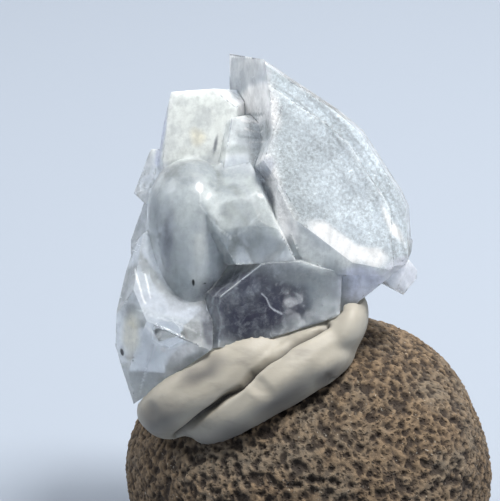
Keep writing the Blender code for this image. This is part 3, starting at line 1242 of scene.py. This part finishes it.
@dataclass
class Putty:
    """The folded pad of putty.

    Attributes:
        node: The frame's node.
        grid: The size of the mesh's faces.
        crease: Where the two rolls meet on the front.
        crease_depth: How deep the crease cuts in.
        dents: Shallow dents, each with its depth.
        painted_shade: Painted shade, darker patches on the putty, mostly low on its rolls.
        finish: The material.
    """

    node: str = "putty_pad"
    grid: float = 0.2
    crease: Trail = Trail(
        ((-9.2, -10.6), (-4.7, -6.8), (-1.6, -4.4), (-0.4, -3.0), (4.1, 0.3), (8.4, 2.6)), 0.3, 0.25, 2.0
    )
    crease_depth: float = 0.95
    dents: tuple[tuple[Patch, float], ...] = (
        (Patch(0.5, -4.4, 1.5, 0.8, -35, 0.7, 0.2, 2.0), 0.28),
        (Patch(9.4, -4.4, 0.5, 1.4, 40, 0.6, 0.2, 2.0), 0.45),
        (Patch(-12.2, -7.6, 0.7, 0.9, 20, 0.7, 0.2, 4.0), 0.15),
    )
    # Patches of painted shade on the putty.
    painted_shade: tuple[Patch, ...] = (
        Patch(-11.6, -8.6, 2.4, 1.8, 30, 0.9, 0.8, 4.0),
        Patch(-3.4, -11.0, 5.2, 1.8, 20, 0.9, 0.8, 4.0),
        Patch(3.2, -6.4, 3.6, 1.5, 40, 0.9, 0.8, 4.0),
        Patch(8.6, -3.6, 1.6, 1.0, 40, 0.9, 0.6, 4.0),
        Patch(-6.0, -2.8, 2.6, 0.9, 30, 0.9, 0.8, 4.0),
    )
    finish: PuttyFinish = field(default_factory=PuttyFinish)

    def build(self, nodes: Mapping[str, bpy.types.Object]) -> bpy.types.Object:
        """Makes the putty's mesh from the frame's solid, made finer and softer, with its folds.

        Args:
            nodes: The frame's nodes.

        Returns:
            The piece.
        """
        piece = add_object("putty", nodes[self.node].data.copy())
        remesh = piece.modifiers.new("finer", "REMESH")
        remesh.mode = "VOXEL"
        remesh.voxel_size = self.grid * MM
        remesh.use_smooth_shade = True
        soft = piece.modifiers.new("softer", "SMOOTH")
        soft.factor = 0.5
        soft.iterations = 6
        apply_modifiers(piece)
        skin = Skin.of(piece.data, 2.6)
        gap, side = self.crease.distance(skin)
        front = skin.ahead(self.crease.back)
        cut = np.exp(-((gap / self.crease.width) ** 2)) * front
        lip = np.exp(-(((gap - 0.75) / 0.5) ** 2)) * (side < 0) * front
        outward = -self.crease_depth * cut + 0.12 * lip + 0.05 * skin.stray_u
        for patch, depth in self.dents:
            outward = outward - depth * patch.mask(skin)
        move_points(piece.data, skin, outward)
        # Painted shade along the crease.
        store(piece.data, "crease_shade", np.exp(-((gap / (self.crease.width * 0.75)) ** 2)) * front)
        # Painted shade in patches on the putty.
        store(piece.data, "painted_shade", strongest(self.painted_shade, skin))
        piece.data.shade_smooth()
        return piece

    def dress(self, piece: bpy.types.Object) -> None:
        """Gives the putty its finish.

        Args:
            piece: The putty.
        """
        settle(piece, self.finish.make(), self.node)


@dataclass(frozen=True)
class Pits:
    """One size of gas pit.

    Attributes:
        spacing: How far apart the pits lie.
        radius: A pit's usual radius.
        depth: How deep it goes.
        shift: Moves the pattern.
        warp: How far the outlines are bent.
    """

    spacing: float
    radius: float
    depth: float
    shift: float = 0.0
    warp: float = 0.0

    def depth_at(self, point: Vector, bend: Vector) -> float:
        """How deep these pits go at a point.

        Args:
            point: The point, from the pebble's centre.
            bend: A wandering vector at the point.

        Returns:
            The depth.
        """
        moved = point + bend * self.warp
        distances, centres = noise.voronoi(moved / self.spacing + Vector((self.shift,) * 3))
        size = self.radius * (0.75 + 0.45 * noise.noise(centres[0] * 5.3))
        inside = 1 - (distances[0] * self.spacing / size) ** 2
        return self.depth * math.sqrt(inside) if inside > 0 else 0.0


@dataclass
class Pebble:
    """The rounded lava pebble with its gas pits.

    Attributes:
        node: The frame's node.
        semi_axes: Half its size along each axis.
        fullness: The exponent of its rounded form.
        centre_height: How high its centre lies above its flat underside.
        lump: How far its surface wanders.
        crumble: How far its fine roughness reaches.
        full_pit: The depth that counts as a full pit.
        pits: Its sizes of gas pit.
        rows: How many faces the mesh has along one side of its starting cube.
        finish: The material.
    """

    node: str = "lava_stone"
    semi_axes: tuple[float, float, float] = (22.5, 21.0, 19.6)
    fullness: float = 2.1
    centre_height: float = 15.0
    lump: float = 0.7
    crumble: float = 0.16
    full_pit: float = 0.4
    pits: tuple[Pits, ...] = (
        Pits(3.0, 0.9, 0.55, 0.0, 0.12),
        Pits(1.25, 0.66, 0.42, 3.7, 0.25),
        Pits(0.95, 0.48, 0.32, 8.1, 0.2),
        Pits(1.9, 0.76, 0.5, 5.2, 0.25),
    )
    rows: int = 127
    finish: LavaFinish = field(default_factory=LavaFinish)

    def build(self, nodes: Mapping[str, bpy.types.Object]) -> bpy.types.Object:
        """Makes the pebble's mesh.

        Args:
            nodes: The frame's nodes; not used.

        Returns:
            The piece.
        """
        shape = bmesh.new()
        bmesh.ops.create_cube(shape, size=2)
        bmesh.ops.subdivide_edges(shape, edges=shape.edges[:], cuts=self.rows - 1, use_grid_fill=True)
        pits, ridges = [], []
        for vert in shape.verts:
            way = Vector([math.tan(value * math.pi / 4) for value in vert.co]).normalized()
            vert.co, depth, ridge = self._point(way)
            vert.co.z = max(vert.co.z, 0.0)
            pits.append(depth)
            ridges.append(ridge)
        bmesh.ops.scale(shape, vec=(MM, MM, MM), verts=shape.verts[:])
        mesh = bpy.data.meshes.new("pebble")
        shape.to_mesh(mesh)
        shape.free()
        store(mesh, "pit", np.array(pits))
        store(mesh, "ridge", np.array(ridges))
        mesh.shade_smooth()
        return add_object("pebble", mesh)

    def _point(self, way: Vector) -> tuple[Vector, float, float]:
        """The surface's point that lies this way from the centre.

        Args:
            way: The unit direction.

        Returns:
            The point, how deep in a pit it lies and how high on a ridge, both from 0 to 1.
        """
        full = sum(abs(way[k] / self.semi_axes[k]) ** self.fullness for k in range(3))
        reach = full ** (-1 / self.fullness)
        lump = self.lump * noise.noise(way * 2.3 + Vector((4.1, 0.7, 2.2)))
        at = way * reach
        bend = noise.noise_vector(at * 0.9)
        depth = max(pits.depth_at(at, bend) for pits in self.pits)
        rough = noise.fractal(at * 1.7, 0.9, 2.2, 3)
        point = way * (reach + lump + self.crumble * (rough - 1) - depth)
        ridge = min(1.0, max(0.0, 0.5 + rough))
        return point + Vector((0, 0, self.centre_height)), min(1.0, depth / self.full_pit), ridge

    def dress(self, piece: bpy.types.Object) -> None:
        """Gives the pebble its finish.

        Args:
            piece: The pebble.
        """
        settle(piece, self.finish.make(), self.node)


class LightRole(Enum):
    """What each studio light is for."""

    KEY = "key"
    FILL = "fill"
    BACK = "back"


@dataclass(frozen=True)
class Lamp:
    """One soft lamp.

    Attributes:
        place: Where it hangs, in metres.
        side: Its side, in metres.
        power: Its power in watts.
        colour: Its colour.
    """

    place: tuple[float, float, float]
    side: float
    power: float
    colour: Colour


@dataclass
class Studio:
    """The pale floor, the soft lights and the camera.

    Attributes:
        lamps: The lights.
        photo_scale: The size of one of the photograph's pixels at the specimen.
        photo_width: The photograph's width in pixels.
        aim: What the photograph's middle shows, in the specimen's frame.
        distance: How far the camera stands from the specimen.
        sensor: The camera's sensor width.
        floor_side: The floor's side in metres.
        floor_colour: The floor's colour.
        sky_way: The direction that the surroundings are brightest in.
        sky_strength: How bright the surroundings are.
    """

    lamps: dict[LightRole, Lamp] = field(
        default_factory=lambda: {
            LightRole.KEY: Lamp((0.15, -0.05, 0.47), 0.11, 2.9, (1.0, 0.985, 0.96)),
            LightRole.FILL: Lamp((-0.36, 0.10, 0.36), 0.2, 0.8, (0.95, 0.97, 1.0)),
            LightRole.BACK: Lamp((0.10, 0.34, 0.34), 0.24, 0.8, (0.97, 0.98, 1.0)),
        }
    )
    photo_scale: float = 0.12
    photo_width: int = 500
    aim: tuple[float, float] = (-0.6, 11.34)
    distance: float = 300.0
    sensor: float = 36.0
    floor_side: float = 6.0
    floor_colour: Colour = (0.31, 0.35, 0.41)
    sky_way: tuple[float, float, float] = (0.0, 0.66, 0.75)
    sky_strength: float = 0.62

    def build(self) -> None:
        """Sets up the floor, the lights, the surroundings and the camera."""
        self._floor()
        self._lights()
        self._surroundings()
        self._camera()

    def _floor(self) -> None:
        """Lays the floor."""
        shape = bmesh.new()
        bmesh.ops.create_grid(shape, x_segments=1, y_segments=1, size=self.floor_side / 2)
        mesh = bpy.data.meshes.new("floor")
        shape.to_mesh(mesh)
        shape.free()
        floor = add_object("floor", mesh)
        material, graph = new_material("floor")
        graph.end(graph.principled(Base_Color=(*self.floor_colour, 1.0), Roughness=0.8))
        mesh.materials.append(material)

    def _lights(self) -> None:
        """Hangs the lights."""
        target = row_point(2.0, 10.0, 0.0)
        for role, lamp in self.lamps.items():
            light = bpy.data.lights.new(role.value, "AREA")
            light.shape = "SQUARE"
            light.size = lamp.side
            light.energy = lamp.power
            light.color = lamp.colour
            holder = bpy.data.objects.new(role.value, light)
            holder.location = lamp.place
            holder.rotation_euler = (target - Vector(lamp.place)).to_track_quat("-Z", "Y").to_euler()
            bpy.context.scene.collection.objects.link(holder)

    def _surroundings(self) -> None:
        """Fills the surroundings with soft light, bright above and behind and dim in front."""
        world = bpy.data.worlds.new("studio")
        world.use_nodes = True
        graph = Graph(world.node_tree, "ShaderNodeOutputWorld")
        way = graph.node("ShaderNodeTexCoord", out="Generated")
        settings = {"operation": "DOT_PRODUCT"}
        toward = graph.node("ShaderNodeVectorMath", settings, {0: way, 1: self.sky_way}, "Value")
        colour = graph.ramp(
            toward * 0.5 + 0.5,
            (0.20, (0.03, 0.035, 0.045)),
            (0.40, (0.16, 0.18, 0.21)),
            (0.54, (0.82, 0.87, 0.94)),
            (1.0, (1.0, 1.0, 1.0)),
        )
        light = {"Color": colour, "Strength": self.sky_strength}
        graph.end(graph.node("ShaderNodeBackground", None, light))
        bpy.context.scene.world = world
        bpy.context.scene.view_settings.view_transform = "Standard"

    def _camera(self) -> None:
        """Sets the camera at the photograph's viewing angle."""
        camera = bpy.data.cameras.new("camera")
        camera.sensor_width = self.sensor
        view_width = self.photo_scale * self.photo_width
        camera.lens = self.distance * self.sensor / view_width
        camera.clip_start = 0.01
        camera.clip_end = 20.0
        stand = bpy.data.objects.new("camera", camera)
        across, up = self.aim
        facing = Matrix((RIGHT, UP_LEAN, -AWAY)).transposed().to_4x4()
        stand.matrix_world = Matrix.Translation(row_point(across, up, -self.distance)) @ facing
        bpy.context.scene.collection.objects.link(stand)
        bpy.context.scene.camera = stand


def main() -> None:
    """Builds and dresses the specimen and its studio."""
    logging.basicConfig(level=logging.INFO, format="%(name)s: %(message)s")
    noise.seed_set(SEED)
    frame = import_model()
    for maker in (Cluster(), Putty(), Pebble()):
        piece = maker.build(frame["nodes"])
        maker.dress(piece)
        LOG.info("%s: %d faces", piece.name, len(piece.data.polygons))
    Studio().build()


if __name__ == "__main__":
    main()
